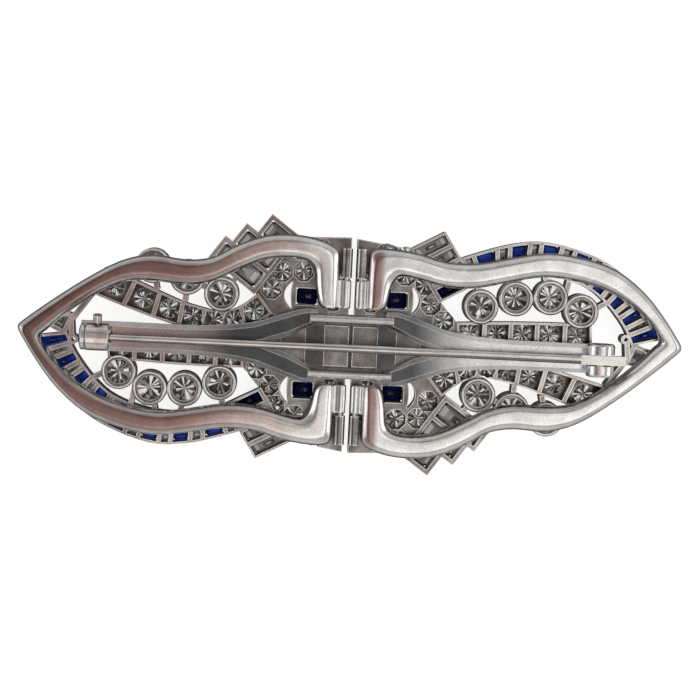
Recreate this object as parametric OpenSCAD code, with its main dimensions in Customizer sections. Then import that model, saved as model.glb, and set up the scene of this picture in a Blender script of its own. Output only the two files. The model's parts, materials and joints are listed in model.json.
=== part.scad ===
// Double clip brooch: two pierced clips with hinged backs, carried on one frame with a pin.
// The brooch lies on its jewelled front, back upwards. +X runs along it, +Z is the pin side.
// A place on a clip is given as u, outwards from the centre line, and v, across the clip.
// v is positive on the side of the stepped baguettes and negative on the side of the rim.

/* [Clip] */
// Reach of a clip from the centre line to its tip
clip_l = 34.2; // [30:0.1:38]
// Half height of a clip at its widest
clip_w = 11.4; // [10.5:0.1:13]
// How far the tip leans towards the stepped side
clip_bow = 1.0; // [0:0.1:1.4]
// Gap from the centre line to the end of a clip
centre_gap = 0.2; // [0.15:0.05:0.4]
// Height of the front's walls
front_t = 3.0; // [2.8:0.1:3.6]
// Gap between the front and the closed back, which grips the cloth
grip_gap = 0.4; // [0.3:0.05:0.8]
// Width of the walls round the stones
wall = 0.45; // [0.35:0.01:0.55]

/* [Back loop] */
// Height of the back loop's bar
loop_t = 2.0; // [1.6:0.1:2.6]

/* [Hinges] */
// Radius of the knuckles
knuckle_r = 0.55; // [0.45:0.01:0.6]
// Length of one knuckle
knuckle_l = 3.0; // [2.4:0.1:3.1]
// Gap between two knuckles
knuckle_gap = 0.2; // [0.1:0.05:0.4]
// Radius of the hinge pins
hinge_pin_r = 0.22; // [0.18:0.01:0.26]
// Clearance round the hinge pins and the rivet
pin_clear = 0.05; // [0.03:0.01:0.08]

/* [Frame] */
// Half height of the frame at its sockets
frame_w = 3.75; // [3.4:0.05:4.2]
// Half width of the arms
arm_w = 1.5; // [1.3:0.05:1.8]
// Height of the arms
arm_t = 1.3; // [1:0.05:1.6]
// Gap between the frame and the parts that pass beside it
slide_gap = 0.15; // [0.1:0.01:0.2]
// Thickness of the tongues that the clips are held by
tongue_t = 0.55; // [0.4:0.05:0.8]
// Half width of the tongues
tongue_w = 2.1; // [1.8:0.05:2.3]
// Width of the two bridging bars
bar_w = 0.85; // [0.7:0.05:1.1]

/* [Pin and catch] */
// Radius of the pin at its joint
pin_r = 0.48; // [0.4:0.01:0.52]
// Radius of the pin just before its point
pin_r_end = 0.36; // [0.3:0.01:0.4]
// Radius of the catch's turning sleeve
sleeve_r = 1.4; // [1.3:0.05:1.6]
// Length of the sleeve
sleeve_l = 2.4; // [2:0.1:2.8]
// Radius of the two ears of the pin's joint
ear_r = 1.45; // [1.3:0.05:1.5]
// Distance from a clip's tip to the catch and the joint
tip_room = 8.7; // [8.4:0.1:9.4]

/* [Stones] */
// Diameter of the stones in the round collets
collet_stone_d = 2.75; // [2.4:0.05:2.9]
// Wall of the round collets
collet_wall = 0.45; // [0.4:0.01:0.5]
// Diameter of the stones in the ribbons
ribbon_stone_d = 1.75; // [1.4:0.05:1.85]
// Diameter of the small stones set at the centre
centre_stone_d = 1.6; // [1.3:0.05:1.7]
// Clearance round each stone
stone_clear = 0.12; // [0.11:0.01:0.15]

/* [Hidden] */
$fn = 48;
e = 0.01;
loop_z = front_t + grip_gap;
hinge_u = centre_gap + knuckle_r;
hinge_z = loop_z + loop_t * 0.45;
upright_u = hinge_u + knuckle_r + slide_gap;
loop_in = frame_w + slide_gap;
tongue_z = front_t + slide_gap;
arm_z = tongue_z + tongue_t + slide_gap + 0.05;
arm_top = arm_z + arm_t;
box_t = 0.45;
centre_t = front_t - box_t - slide_gap - 0.1;
box_l = 4.8;
window_l = 2.6;
joint_u = clip_l - tip_room;
pin_z = arm_top + sleeve_r + slide_gap;
wall_l = knuckle_l * 2 + knuckle_gap;

// Place of the loop's two ends, as shares of clip_l and clip_w.
upright = upright_u / clip_l;
loop_end = loop_in / clip_w;

// Outline of the back loop, from the stepped side's hinge round the tip to the rim side's.
// Columns: outer u, outer v, inner u, inner v, as shares of clip_l and clip_w.
LOOP = [
    [upright, loop_end, 0.09, loop_end],
    [upright, 0.4, 0.105, 0.395],
    [upright, 0.57, 0.115, 0.54],
    [upright, 0.75, 0.12, 0.675],
    [0.05, 0.88, 0.135, 0.74],
    [0.115, 0.965, 0.165, 0.77],
    [0.195, 0.99, 0.22, 0.77],
    [0.27, 0.965, 0.28, 0.73],
    [0.35, 0.87, 0.35, 0.63],
    [0.425, 0.74, 0.42, 0.52],
    [0.505, 0.7, 0.495, 0.47],
    [0.605, 0.72, 0.6, 0.48],
    [0.7, 0.64, 0.68, 0.455],
    [0.805, 0.445, 0.77, 0.315],
    [0.905, 0.22, 0.855, 0.115],
    [0.98, 0.035, 0.915, -0.055],
    [1, -0.035, 0.93, -0.095],
    [0.985, -0.13, 0.92, -0.175],
    [0.935, -0.35, 0.885, -0.3],
    [0.875, -0.56, 0.825, -0.455],
    [0.79, -0.755, 0.75, -0.58],
    [0.69, -0.86, 0.66, -0.655],
    [0.58, -0.905, 0.565, -0.68],
    [0.475, -0.86, 0.47, -0.63],
    [0.37, -0.8, 0.37, -0.57],
    [0.275, -0.805, 0.28, -0.57],
    [0.195, -0.87, 0.2, -0.625],
    [0.105, -0.905, 0.145, -0.655],
    [0.05, -0.88, 0.125, -0.605],
    [upright, -0.735, 0.115, -0.53],
    [upright, -0.57, 0.11, -0.46],
    [upright, -0.4, 0.105, -0.395],
    [upright, -loop_end, 0.09, -loop_end],
];

// Rim that holds the sapphires, from the tip to the corner near the centre. Columns as above.
RIM = [
    [0.955, -0.115, 0.855, -0.055],
    [0.925, -0.325, 0.835, -0.195],
    [0.885, -0.5, 0.805, -0.325],
    [0.835, -0.665, 0.77, -0.445],
    [0.77, -0.815, 0.72, -0.57],
    [0.69, -0.92, 0.655, -0.65],
    [0.595, -0.995, 0.58, -0.695],
    [0.51, -0.99, 0.505, -0.695],
    [0.42, -0.93, 0.43, -0.66],
    [0.325, -0.835, 0.375, -0.59],
];

// Curved ribbon of diamonds on the stepped side, from its half-moon end inwards. Columns as above.
RIBBON = [
    [0.75, 0.56, 0.785, 0.315],
    [0.655, 0.47, 0.69, 0.225],
    [0.58, 0.385, 0.6, 0.145],
    [0.51, 0.31, 0.52, 0.09],
    [0.445, 0.265, 0.445, 0.075],
    [0.39, 0.24, 0.385, 0.06],
    [0.335, 0.31, 0.32, 0.08],
    [0.285, 0.43, 0.24, 0.26],
];

// Straight ribbon of diamonds under the arm. Columns as above.
LOWER_RIBBON = [
    [0.735, -0.02, 0.73, -0.25],
    [0.65, -0.025, 0.65, -0.26],
    [0.565, -0.035, 0.565, -0.265],
    [0.485, -0.04, 0.485, -0.265],
    [0.405, -0.045, 0.405, -0.26],
    [0.325, -0.05, 0.32, -0.25],
];

// Round collets. Columns: u and v as shares of clip_l and clip_w.
COLLETS = [
    [0.695, -0.37],
    [0.6, -0.495],
    [0.495, -0.48],
    [0.39, -0.4],
    [0.605, 0.615],
    [0.5, 0.535],
    [0.395, 0.405],
];

// Short struts between collets, ribbons and rim. Columns: u, v of one end, u, v of the other.
STRUTS = [
    [0.64, -0.43, 0.655, -0.65],
    [0.72, -0.36, 0.77, -0.445],
    [0.6, -0.495, 0.58, -0.695],
    [0.495, -0.48, 0.505, -0.695],
    [0.39, -0.4, 0.38, -0.59],
    [0.39, -0.4, 0.4, -0.26],
    [0.695, -0.37, 0.69, -0.255],
    [0.605, 0.615, 0.59, 0.4],
    [0.5, 0.535, 0.505, 0.31],
    [0.395, 0.405, 0.395, 0.24],
    [0.605, 0.615, 0.395, 0.405],
    [0.395, 0.405, 0.35, 0.57],
    [0.845, 0.06, 0.84, -0.11],
    [0.845, 0.06, 0.785, 0.315],
];

// The steps beside the stepped edge. Columns: distance along the row, reach of the step there.
STEPS = [
    [0, 5.6],
    [2.35, 4.7],
    [4.8, 3.25],
    [7.25, 0],
];
step_at = [0.298 * clip_l, 0.447 * clip_w];
step_a = [-0.584, 0.812];
step_b = [0.812, 0.584];

// Slanted block at the end of the rim, measured from the corner that points at the arm.
block_at = [0.269 * clip_l, -0.430 * clip_w];
block_p = [-0.545, -0.839];
block_q = [0.88, -0.475];
block_l = 6.4;
block_w = 4.1;
block_n = 4;

// Small stones at the centre. Columns: u and v as shares of clip_l and clip_w.
SPOTS = [
    [0.15, 0.655],
    [0.215, 0.64],
    [0.245, 0.48],
    [0.1, 0.865],
    [0.16, 0.85],
    [0.24, -0.4],
    [0.28, -0.255],
    [0.22, -0.58],
    [0.16, -0.66],
    [0.1, -0.865],
    [0.16, -0.845],
    [0.285, 0.05],
    [0.235, 0.16],
];
spine_u = 0.057 * clip_l;
spine_n = 7;
spine_pitch = 0.2 * clip_w;
block_u = 0.137 * clip_l;
sapphire_l = 2.2;
sapphire_w = 1.75;
sapphire_n = 5;
sapphire_pitch = 0.213 * clip_w;
slot_u = 0.196 * clip_l;

platinum = "silver";
steel = "lightsteelblue";
diamond = "white";
sapphire = "mediumblue";

// A point on a clip. side is 1 for the left clip and -1 for the right one, before it is turned.
function place(u, v, side) = [-u, v + side * clip_bow * pow(u / clip_l, 2)];
function shares(u, v, side) = place(u * clip_l, v * clip_w, side);

// A point between p1 and p2 on a smooth curve through four points.
function curve(p0, p1, p2, p3, t) =
    0.5 * (2 * p1 + (p2 - p0) * t + (2 * p0 - 5 * p1 + 4 * p2 - p3) * t * t
    + (3 * p1 - p0 - 3 * p2 + p3) * t * t * t);
function row_at(rows, s) =
    let (last = len(rows) - 1, i = min(floor(s), last - 1), t = s - i)
    curve(rows[max(i - 1, 0)], rows[i], rows[i + 1], rows[min(i + 2, last)], t);
function smooth(rows, n) =
    [for (k = [0 : (len(rows) - 1) * n]) row_at(rows, k / n)];
function outer(rows, side) = [for (r = rows) shares(r[0], r[1], side)];
function inner(rows, side) = [for (r = rows) shares(r[2], r[3], side)];
function mix(a, b, t) = a + (b - a) * t;
function unit(p) = p / norm(p);
function centroid(ring) = (ring[0] + ring[1] + ring[2] + ring[3]) / 4;

module on_side(side) {
    rotate(side > 0 ? 0 : 180) children();
}

// A strip with a crowned top between two edges. profile lists across and height, as shares.
module crowned_strip(a, b, z, h, profile) {
    n = len(profile);
    m = len(a);
    points = [for (i = [0 : m - 1]) for (p = profile)
        let (q = mix(a[i], b[i], p[0])) [q[0], q[1], z + h * p[1]]];
    walls = [for (i = [0 : m - 2]) for (k = [0 : n - 1])
        let (c = i * n + k, d = i * n + (k + 1) % n) each [[c, c + n, d], [d, c + n, d + n]]];
    caps = [[for (k = [0 : n - 1]) k], [for (k = [n - 1 : -1 : 0]) (m - 1) * n + k]];
    polyhedron(points, concat(walls, caps));
}

// A stone built of rings of n points. rings lists height and a list of points.
module ring_solid(rings) {
    n = len(rings[0][1]);
    m = len(rings);
    points = [for (r = rings) for (p = r[1]) [p[0], p[1], r[0]]];
    walls = [for (i = [0 : m - 2]) for (k = [0 : n - 1])
        let (c = i * n + k, d = i * n + (k + 1) % n) each [[c, c + n, d], [d, c + n, d + n]]];
    caps = [[for (k = [0 : n - 1]) k], [for (k = [n - 1 : -1 : 0]) (m - 1) * n + k]];
    polyhedron(points, concat(walls, caps));
}

function circle_ring(p, r, n, turn) =
    [for (k = [0 : n - 1]) [p[0] + r * cos(turn - 360 * k / n), p[1] + r * sin(turn - 360 * k / n)]];
function shrunk(ring, k) = let (c = centroid(ring)) [for (p = ring) mix(c, p, k)];
function clockwise(ring) =
    let (a = ring[1] - ring[0], b = ring[2] - ring[1])
    a[0] * b[1] - a[1] * b[0] < 0 ? ring : [ring[3], ring[2], ring[1], ring[0]];

// A round brilliant with its table on the front, at height z.
module brilliant(p, d, z) {
    ring_solid([
        [z, circle_ring(p, d * 0.3, 8, 22.5)],
        [z + d * 0.15, circle_ring(p, d * 0.5, 8, 0)],
        [z + d * 0.19, circle_ring(p, d * 0.5, 8, 0)],
        [z + d * 0.58, circle_ring(p, d * 0.04, 8, 22.5)],
    ]);
}

// A step-cut stone in a four-sided cell, with its table on the front.
module step_cut(cell, z, h) {
    ring = clockwise(cell);
    ring_solid([
        [z, shrunk(ring, 0.7)],
        [z + h * 0.25, ring],
        [z + h * 0.35, ring],
        [z + h * 0.7, shrunk(ring, 0.72)],
        [z + h, shrunk(ring, 0.3)],
    ]);
}

// The four corners of a cell in a strip, between shares s1 and s2 along it, set in by gap.
function cell(rows, side, s1, s2, gap) =
    let (r1 = row_at(rows, s1), r2 = row_at(rows, s2),
        a1 = shares(r1[0], r1[1], side), b1 = shares(r1[2], r1[3], side),
        a2 = shares(r2[0], r2[1], side), b2 = shares(r2[2], r2[3], side))
    inset([a1, a2, b2, b1], gap);
// Moves each corner of a four-sided cell inwards by gap along both of its sides.
function inset(c, gap) =
    [for (k = [0 : 3]) c[k] + unit(c[(k + 1) % 4] - c[k]) * gap + unit(c[(k + 3) % 4] - c[k]) * gap];
function slanted(at, p, q, p1, p2, q1, q2, side) =
    [for (c = [[p1, q1], [p2, q1], [p2, q2], [p1, q2]])
        let (g = at + p * c[0] + q * c[1]) place(g[0], g[1], side)];

module strut(r, side) {
    a = shares(r[0], r[1], side);
    b = shares(r[2], r[3], side);
    n = unit(b - a) * wall * 0.6;
    t = [-n[1], n[0]];
    polygon([a + t, b + t, b - t, a - t]);
}

module strip_plan(rows, side) {
    s = smooth(rows, 3);
    a = outer(s, side);
    b = inner(s, side);
    polygon(concat(a, [for (i = [len(b) - 1 : -1 : 0]) b[i]]));
}

rim_pairs = 8;
rim_step = (len(RIM) - 1) / rim_pairs;
rim_share = 0.62;
ribbon_n = len(RIBBON) - 1;
lower_n = len(LOWER_RIBBON) - 1;

function rim_cell(k, side, white, gap) =
    white ? cell(RIM, side, (k + rim_share) * rim_step, (k + 1) * rim_step, gap)
    : cell(RIM, side, k * rim_step, (k + rim_share) * rim_step, gap);
function step_cell(k, side, gap) =
    slanted(step_at, step_a, step_b, STEPS[k][0] + gap, STEPS[k + 1][0] - gap,
        gap, STEPS[k][1] - gap, side);
function block_cell(k, side, gap) =
    slanted(block_at, block_p, block_q, k * block_l / block_n + gap,
        (k + 1) * block_l / block_n - gap, gap, block_w - gap, side);
function sapphire_cell(k, side, gap) =
    let (v = (k - (sapphire_n - 1) / 2) * sapphire_pitch,
        l = sapphire_l / 2 - gap, w = sapphire_w / 2 - gap)
    [for (c = [[-l, -w], [l, -w], [l, w], [-l, w]]) place(block_u + c[0], v + c[1], side)];
function spine_spot(k, side) = place(spine_u, (k - (spine_n - 1) / 2) * spine_pitch, side);

// Plan of the plate at the centre of a clip.
module centre_plan(side) {
    edge = centre_gap + 0.1;
    top = step_at + step_a * 7.25;
    foot = block_at + block_p * block_l;
    polygon([
        place(edge, 0.982 * clip_w, side),
        place(top[0], top[1], side),
        place(step_at[0], step_at[1], side),
        shares(0.240, 0.260, side),
        shares(0.322, 0.070, side),
        shares(0.322, -0.250, side),
        place(block_at[0], block_at[1], side),
        place(foot[0], foot[1], side),
        place(edge, -0.974 * clip_w, side),
    ]);
}

// A narrow opening, pointed at both ends and curved round the centre.
module slot_plan(side, way) {
    n = 8;
    middle = 0.43 * clip_w;
    half = 0.13 * clip_w;
    function spot(t, w) = place(slot_u - 0.5 * t * t + w * (1 - t * t), way * (middle + half * t), side);
    polygon(concat(
        [for (k = [-n : n]) spot(k / n, 0.33)],
        [for (k = [n - 1 : -1 : 1 - n]) spot(k / n, -0.33)]));
}

low_z = 0.3;
tongue_root_l = 2.3;
work_t = front_t - 0.2;
rim_t = front_t - 0.3;

module upto(z, from = 0) {
    translate([0, 0, from]) linear_extrude(z - from) children();
}
module through() {
    translate([0, 0, -1]) linear_extrude(front_t + 2) children();
}

// Solid pieces of one clip's front, before its openings are cut.
module front_body(side) {
    upto(rim_t) strip_plan(RIM, side);
    upto(work_t, low_z) strip_plan(RIBBON, side);
    upto(work_t, low_z) strip_plan(LOWER_RIBBON, side);
    for (r = STRUTS) upto(work_t, low_z) strut(r, side);
    for (c = COLLETS) translate([each shares(c[0], c[1], side), low_z]) {
        cylinder(r = collet_r, h = front_t - low_z - collet_edge);
        translate([0, 0, front_t - low_z - collet_edge])
            cylinder(r1 = collet_r, r2 = collet_r - collet_edge, h = collet_edge);
    }
    for (k = [0 : len(STEPS) - 2]) upto(work_t) polygon(step_cell(k, side, -wall / 2));
    upto(work_t) polygon(slanted(block_at, block_p, block_q, 0, block_l, -wall / 2, block_w, side));
    upto(rim_t, low_z) polygon(inset(tip_corners(side), -wall));
    upto(centre_t, low_z / 2) centre_plan(side);
    translate([each shares(0.836, -0.115, side), low_z]) cylinder(r = ring_r, h = work_t - low_z);
    front_knuckles(side);
    tongue(side);
}

// Web and outer knuckles of a clip, one on each side of its middle.
module front_knuckles(side) {
    from = loop_in + knuckle_l + knuckle_gap;
    for (way = [-1, 1]) {
        translate([-hinge_u, way * (from + knuckle_l / 2), hinge_z])
            rotate([90, 0, 0]) cylinder(r = knuckle_r, h = knuckle_l, center = true);
        translate([-hinge_u - knuckle_r * 0.7, way * (from + knuckle_l / 2) - knuckle_l / 2, low_z])
            cube([knuckle_r * 1.4, knuckle_l, hinge_z - low_z]);
    }
}

// Tongue that slides into the frame's box, with the block that carries it.
module tongue(side) {
    neck = box_l + slide_gap;
    root = tongue_root_l;
    translate([-neck - root, -tongue_w, low_z]) cube([root, tongue_w * 2, tongue_z + tongue_t - low_z]);
    translate([-neck - root / 2, -tongue_w, tongue_z])
        cube([neck + root / 2 - centre_gap, tongue_w * 2, tongue_t]);
}

collet_r = collet_stone_d / 2 + collet_wall;
collet_edge = 0.12;
ledge_r = collet_stone_d * 0.455;
ledge_drop = 0.4;
seat_z = low_z + 0.75;
recess_z = low_z + 0.9;
ring_r = 0.5;
ring_bore = 0.22;

module front(side) {
    color(platinum) difference() {
        front_body(side);
        for (k = [0 : rim_pairs - 1]) for (white = [false, true])
            through() polygon(rim_cell(k, side, white, wall / 2));
        for (k = [0 : ribbon_n - 1]) ribbon_seat(RIBBON, k, side);
        for (k = [0 : lower_n - 1]) ribbon_seat(LOWER_RIBBON, k, side);
        for (c = COLLETS) collet_bore(shares(c[0], c[1], side));
        for (k = [0 : len(STEPS) - 2]) through() polygon(step_cell(k, side, wall / 2));
        for (k = [0 : block_n - 1]) through() polygon(block_cell(k, side, wall / 2));
        through() polygon(tip_corners(side));
        for (k = [0 : sapphire_n - 1]) through_plate() polygon(sapphire_cell(k, side, 0));
        for (c = SPOTS) centre_seat(shares(c[0], c[1], side));
        for (k = [0 : spine_n - 1]) centre_seat(spine_spot(k, side));
        for (way = [-1, 1]) through() slot_plan(side, way);
        translate([each shares(0.836, -0.115, side), low_z]) cylinder(r = ring_bore, h = front_t);
        hinge_bores();
    }
}

// Bore of a round collet: wide under the stone, narrow at the ledge, wider again inside the rim.
module collet_bore(p) {
    translate([p[0], p[1], -1]) cylinder(r = collet_stone_d / 2 + stone_clear, h = seat_z + 1);
    translate([p[0], p[1], -1]) cylinder(r = ledge_r, h = front_t + 2);
    translate([p[0], p[1], front_t - ledge_drop])
        cylinder(r = (ledge_r + collet_r) / 2 - collet_edge / 2, h = ledge_drop + 1);
}

// Openings for the stones at the centre stop under the tongue and its block.
module through_plate() {
    translate([0, 0, -1]) linear_extrude(centre_t + 1 + e) children();
}

function tip_corners(side) = [shares(0.912, 0.020, side), shares(0.880, 0.105, side),
    shares(0.852, 0.085, side), shares(0.868, -0.035, side)];

// Round window for a ribbon's stone, with a four-sided recess behind it.
module ribbon_seat(rows, k, side) {
    c = centroid(cell(rows, side, k, k + 1, 0));
    through() translate(c) circle(r = ribbon_stone_d / 2 + stone_clear);
    upto(front_t + 1, recess_z) polygon(cell(rows, side, k, k + 1, wall / 2));
}

// Round window for a small stone at the centre, with an eight-sided recess behind it.
module centre_seat(p) {
    through_plate() translate(p) circle(r = centre_stone_d / 2 + stone_clear);
    translate([p[0], p[1], recess_z]) rotate(22.5)
        cylinder(r = centre_stone_d * 0.69, h = centre_t - recess_z + e, $fn = 8);
}

module hinge_bores() {
    for (way = [-1, 1])
        translate([-hinge_u, way * (loop_in + wall_l / 2), hinge_z])
            rotate([90, 0, 0]) cylinder(r = hinge_pin_r + pin_clear, h = wall_l + 1, center = true);
}

web_in = 0.5;
web_t = 0.7;
bar_profile = [[0.03, 0], [0, 0.5], [0.08, 0.82], [0.28, 1], [0.72, 1], [0.92, 0.82], [1, 0.5], [0.97, 0]];
arm_profile = [[0, 0], [0, 0.72], [0.2, 1], [0.8, 1], [1, 0.72], [1, 0]];

module loop(side) {
    s = smooth(LOOP, 3);
    color(platinum) difference() {
        union() {
            crowned_strip(inner(s, side), outer(s, side), loop_z, loop_t, bar_profile);
            for (way = [-1, 1]) {
                translate([-hinge_u, way * (loop_in + knuckle_l / 2), hinge_z])
                    rotate([90, 0, 0]) cylinder(r = knuckle_r, h = knuckle_l, center = true);
                translate([-upright_u - web_in, way * (loop_in + knuckle_l / 2) - knuckle_l / 2,
                    hinge_z - web_t / 2])
                    cube([upright_u + web_in - hinge_u, knuckle_l, web_t]);
            }
        }
        hinge_bores();
    }
}

module hinge_pin(way) {
    color(steel) translate([-hinge_u, way * (loop_in + wall_l / 2), hinge_z])
        rotate([90, 0, 0]) cylinder(r = hinge_pin_r, h = wall_l - 0.1, center = true);
}

// Half of one arm, on the side way. Columns: share of joint_u, share of the way from arm_w to
// frame_w, and inner edge as a share of frame_w.
ARM = [
    [0.93, 0, -0.19],
    [0.69, 0, -0.19],
    [0.58, 0.04, -0.18],
    [0.48, 0.13, -0.15],
    [0.38, 0.31, -0.04],
    [0.32, 0.55, 0.09],
    [0.25, 0.82, 0.25],
    [0.19, 1, 0.46],
    [0.14, 1, 0.60],
];
module arm(end) {
    rows = concat([[end / joint_u, 0, -0.19]], ARM);
    s = smooth(rows, 3);
    for (way = [-1, 1]) {
        a = [for (r = s) [-r[0] * joint_u, way * (arm_w + (frame_w - arm_w) * r[1])]];
        b = [for (r = s) [-r[0] * joint_u, way * frame_w * r[2]]];
        if (way > 0) crowned_strip(a, b, arm_z, arm_t, arm_profile);
        else crowned_strip(b, a, arm_z, arm_t, arm_profile);
    }
}

// Bridging bar, rounded on top. Its profile lists across and height, as shares of bar_w and arm_t.
BAR = [[-0.5, -0.2], [0.5, -0.2], [0.5, 1], [0.44, 1.15], [0.3, 1.27], [0.1, 1.33],
    [-0.1, 1.33], [-0.3, 1.27], [-0.44, 1.15], [-0.5, 1]];
bar_at = tongue_w + 0.3 + bar_w / 2;
bar_l = box_l * 1.78;
module bar(way) {
    translate([0, way * bar_at, arm_z]) rotate([90, 0, 90])
        linear_extrude(bar_l, center = true) polygon([for (p = BAR) [p[0] * bar_w, p[1] * arm_t]]);
}

// Box at the centre that takes both tongues, with a cover at each end.
cover_drop = 0.25;
cover_t = 0.6;
module box() {
    w = bar_at + bar_w / 2;
    low = front_t - box_t;
    difference() {
        translate([-box_l, -w, low]) cube([box_l * 2, w * 2, arm_z + 0.1 - low]);
        translate([-box_l - 1, -tongue_w - slide_gap, front_t])
            cube([box_l * 2 + 2, (tongue_w + slide_gap) * 2, arm_z]);
    }
    for (x = [-1, 1])
        translate([x * (window_l + box_l) / 2, 0, arm_z + cover_drop])
            cube([box_l - window_l - 0.2, bar_at * 2, cover_t], center = true);
}

catch_u = joint_u + 0.3;
knob_r = 0.45;
knob_l = 1.0;
knob_neck = 0.28;
knob_a = 18;
barrel_r = sleeve_r - 0.5;
barrel_bore = pin_r_end + 0.14;
cap_t = 0.3;
cap_gap = 0.1;
cap_dome = 0.25;
post_w = 1.8;
post_sink = 0.4;
// Post of the catch: a domed cap on a foot, and a slit barrel that takes the pin's point.
module catch_post() {
    end = catch_u + sleeve_l / 2 + cap_gap;
    cap_r = sleeve_r - 0.05;
    translate([-end - cap_t, 0, pin_z]) rotate([0, 90, 0]) cylinder(r = cap_r, h = cap_t);
    translate([-end - cap_t, 0, pin_z]) rotate([0, -90, 0]) rotate_extrude()
        polygon([[0, -e], [cap_r, -e], [cap_r * 0.9, cap_dome / 2], [cap_r * 0.6, cap_dome], [0, cap_dome]]);
    translate([-end - cap_t, -post_w / 2, arm_top - post_sink])
        cube([cap_t, post_w, pin_z - arm_top + post_sink]);
    difference() {
        translate([-end, 0, pin_z]) rotate([0, 90, 0]) cylinder(r = barrel_r, h = sleeve_l + cap_gap * 2);
        translate([-end + cap_t, 0, pin_z]) rotate([0, 90, 0]) cylinder(r = barrel_bore, h = sleeve_l + 1);
        translate([-end + cap_t, -barrel_bore, pin_z]) cube([sleeve_l + 1, barrel_bore * 2, sleeve_r * 2]);
    }
}

ear_gap = pin_r + 0.12;
ear_t = 1.1;
ear_edge = 0.25;
ear_foot_l = 1.6;
ear_foot_w = 0.9;
ear_foot_sink = 0.5;
// Two round ears with rounded outer edges, each on a foot that stands on the arm.
module ears() {
    for (way = [-1, 1]) {
        translate([joint_u, way * ear_gap, pin_z]) rotate([way * -90, 0, 0]) rotate_extrude()
            polygon([[0, 0], [ear_r, 0], [ear_r, ear_t - ear_edge],
                [ear_r - ear_edge * 0.3, ear_t - ear_edge * 0.3], [ear_r - ear_edge, ear_t], [0, ear_t]]);
        translate([joint_u - ear_foot_l / 2, way * (ear_gap + ear_foot_w / 2) - ear_foot_w / 2,
            arm_top - ear_foot_sink])
            cube([ear_foot_l, ear_foot_w, pin_z - arm_top + ear_foot_sink]);
    }
}

ear_slot = 0.9;
module frame() {
    color(platinum) difference() {
        union() {
            arm(catch_u + sleeve_l / 2 + cap_gap + cap_t + cap_dome);
            rotate(180) arm(joint_u + ear_r);
            box();
            bar(-1);
            bar(1);
            catch_post();
            ears();
        }
        translate([joint_u - ear_slot, -ear_gap, arm_z - 1])
            cube([ear_slot + ear_r + 1, ear_gap * 2, pin_z + 3]);
        translate([joint_u, 0, pin_z]) rotate([90, 0, 0])
            cylinder(r = rivet_r + pin_clear / 2, h = (ear_gap + ear_t) * 3, center = true);
    }
}

rivet_r = 0.36;
module rivet() {
    color(steel) translate([joint_u, 0, pin_z]) rotate([90, 0, 0])
        cylinder(r = rivet_r, h = (ear_gap + ear_t) * 2 + 0.06, center = true);
}

// The pin, with its flat butt and its point inside the catch.
butt_in = 2.0;
butt_out = 2.6;
point_l = 1.6;
point_r = 0.12;
module pin() {
    start = joint_u - butt_in + 0.3;
    point = catch_u + sleeve_l / 2 - 0.4;
    color(steel) difference() {
        union() {
            translate([start, 0, pin_z]) rotate([0, -90, 0])
                cylinder(r1 = pin_r, r2 = pin_r_end, h = start + point - point_l);
            translate([point_l - point, 0, pin_z]) rotate([0, -90, 0])
                cylinder(r1 = pin_r_end, r2 = point_r, h = point_l);
            translate([joint_u - butt_in, -pin_r, pin_z - pin_r])
                cube([butt_in + butt_out, pin_r * 2, pin_r * 2]);
        }
        translate([joint_u, 0, pin_z]) rotate([90, 0, 0])
            cylinder(r = rivet_r + pin_clear, h = pin_r * 4, center = true);
    }
}

// Turning sleeve of the catch. Its gap faces sideways when it is shut.
sleeve_gap_a = 78;
sleeve_clear = 0.13;
sleeve_edge = 0.12;
module catch_sleeve() {
    bore = barrel_r + sleeve_clear;
    color(platinum) translate([-catch_u, 0, pin_z]) rotate([90, 0, 90]) {
        translate([0, 0, -sleeve_l / 2]) rotate_extrude(angle = 360 - sleeve_gap_a)
            polygon([[bore, 0], [sleeve_r - sleeve_edge, 0], [sleeve_r, sleeve_edge],
                [sleeve_r, sleeve_l - sleeve_edge], [sleeve_r - sleeve_edge, sleeve_l], [bore, sleeve_l]]);
        rotate([0, 90, knob_a]) translate([0, 0, sleeve_r - 0.12])
            cylinder(r1 = knob_r * 0.7, r2 = knob_r, h = knob_neck + 0.12);
        rotate([0, 90, knob_a]) translate([0, 0, sleeve_r + knob_neck - e])
            cylinder(r = knob_r, h = knob_l - knob_neck);
    }
}

module stone(k, side) {
    c = COLLETS[k - 1];
    color(diamond) brilliant(shares(c[0], c[1], side), collet_stone_d, low_z - 0.2);
}
module tip_stone(side) {
    color(diamond) step_cut(inset(tip_corners(side), stone_clear), low_z / 2, 1.4);
}
module rim_sapphires(side) {
    color(sapphire) for (k = [0 : rim_pairs - 1])
        step_cut(rim_cell(k, side, false, wall / 2 + stone_clear), low_z / 2, 1.7);
}
module rim_baguettes(side) {
    color(diamond) for (k = [0 : rim_pairs - 1])
        step_cut(rim_cell(k, side, true, wall / 2 + stone_clear), low_z / 2, 1.5);
}
module ribbon_diamonds(side) {
    color(diamond) {
        for (k = [0 : ribbon_n - 1])
            brilliant(centroid(cell(RIBBON, side, k, k + 1, 0)), ribbon_stone_d, low_z);
        for (k = [0 : lower_n - 1])
            brilliant(centroid(cell(LOWER_RIBBON, side, k, k + 1, 0)), ribbon_stone_d, low_z);
    }
}
module step_baguettes(side) {
    color(diamond) for (k = [0 : len(STEPS) - 2])
        step_cut(step_cell(k, side, wall / 2 + stone_clear), low_z / 2, 1.8);
}
module block_baguettes(side) {
    color(diamond) for (k = [1 : block_n - 1])
        step_cut(block_cell(k, side, wall / 2 + stone_clear), low_z / 2, 1.6);
}
module centre_sapphires(side) {
    color(sapphire) {
        step_cut(block_cell(0, side, wall / 2 + stone_clear), low_z / 2, 1.6);
        for (k = [0 : sapphire_n - 1])
            step_cut(sapphire_cell(k, side, stone_clear), low_z / 2, 1.5);
    }
}
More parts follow.
